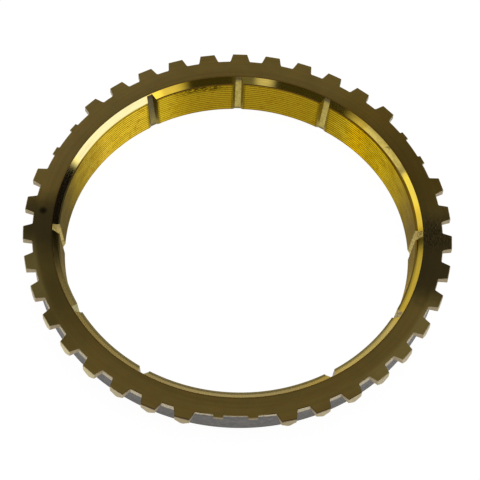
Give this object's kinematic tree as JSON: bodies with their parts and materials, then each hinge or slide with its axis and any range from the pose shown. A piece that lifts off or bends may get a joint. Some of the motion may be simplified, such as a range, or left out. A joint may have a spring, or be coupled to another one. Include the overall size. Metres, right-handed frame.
{
  "type": "synchronizer ring",
  "caption": "One-piece brass ring with spline teeth round a flat face and a finely threaded, grooved conical bore that grips a gear's cone.",
  "frame": {"origin": "on the ring's axis, at the hub-side face that it rests on", "axes": "+Z along the axis towards the toothed face and the wide end of the cone; +Y through the middle tooth of one run of full teeth"},
  "size_m": [0.09, 0.089, 0.0094],
  "materials": {
    "brass": "forged and turned brass, tarnished on the face, bright on the chamfer and in the cone"
  },
  "bodies": {
    "root": {"synchronizer_ring": "brass"}
  },
  "joints": []
}
